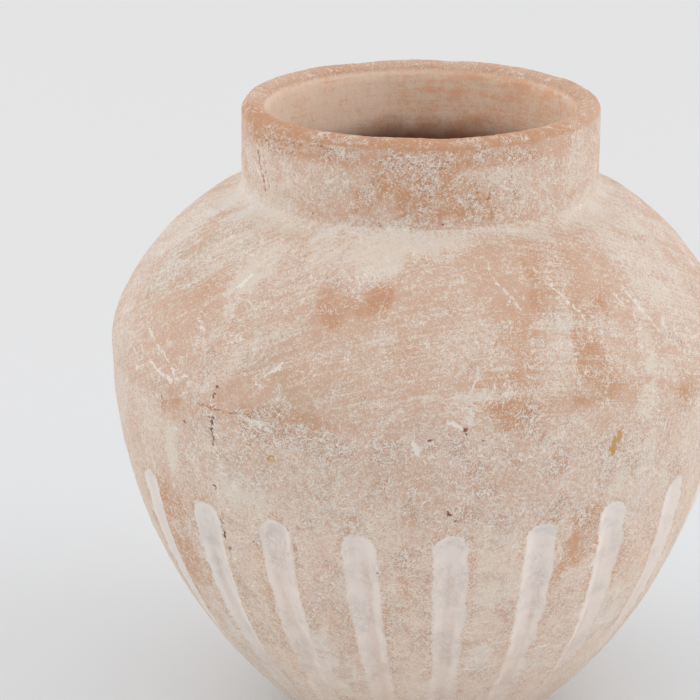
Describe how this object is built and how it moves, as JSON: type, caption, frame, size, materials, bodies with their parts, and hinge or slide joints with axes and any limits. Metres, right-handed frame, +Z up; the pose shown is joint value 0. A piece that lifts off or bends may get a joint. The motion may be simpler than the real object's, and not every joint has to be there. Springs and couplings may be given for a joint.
{
  "type": "storage jar",
  "caption": "Round-bellied terracotta storage jar with a short straight neck, rounded lip and vertical finger flutes under the belly, lime-washed, standing on a flat foot.",
  "frame": {"origin": "centre of the flat resting face under the foot", "axes": "+Z up along the jar's axis; the jar is round, and -Y is the side that the picture shows"},
  "size_m": [0.3, 0.3, 0.307],
  "materials": {
    "fluted_clay": "unglazed terracotta under a crackled chalky lime wash, whiter in the flutes",
    "shoulder_clay": "unglazed terracotta under a brushed thin lime wash",
    "collar_clay": "unglazed terracotta with a worn, finely crackled lime wash",
    "lime_slip": "thick chalky lime wash caught in the corner of the neck",
    "inner_clay": "bare matt terracotta"
  },
  "bodies": {
    "root": {"base_dish": "fluted_clay", "base_luting_coil": "inner_clay", "lower_wall": "fluted_clay", "belly_luting_coil": "inner_clay", "shoulder_wall": "shoulder_clay", "neck_luting_coil": "lime_slip", "neck_collar": "collar_clay", "rim_lip": "collar_clay"}
  },
  "joints": []
}
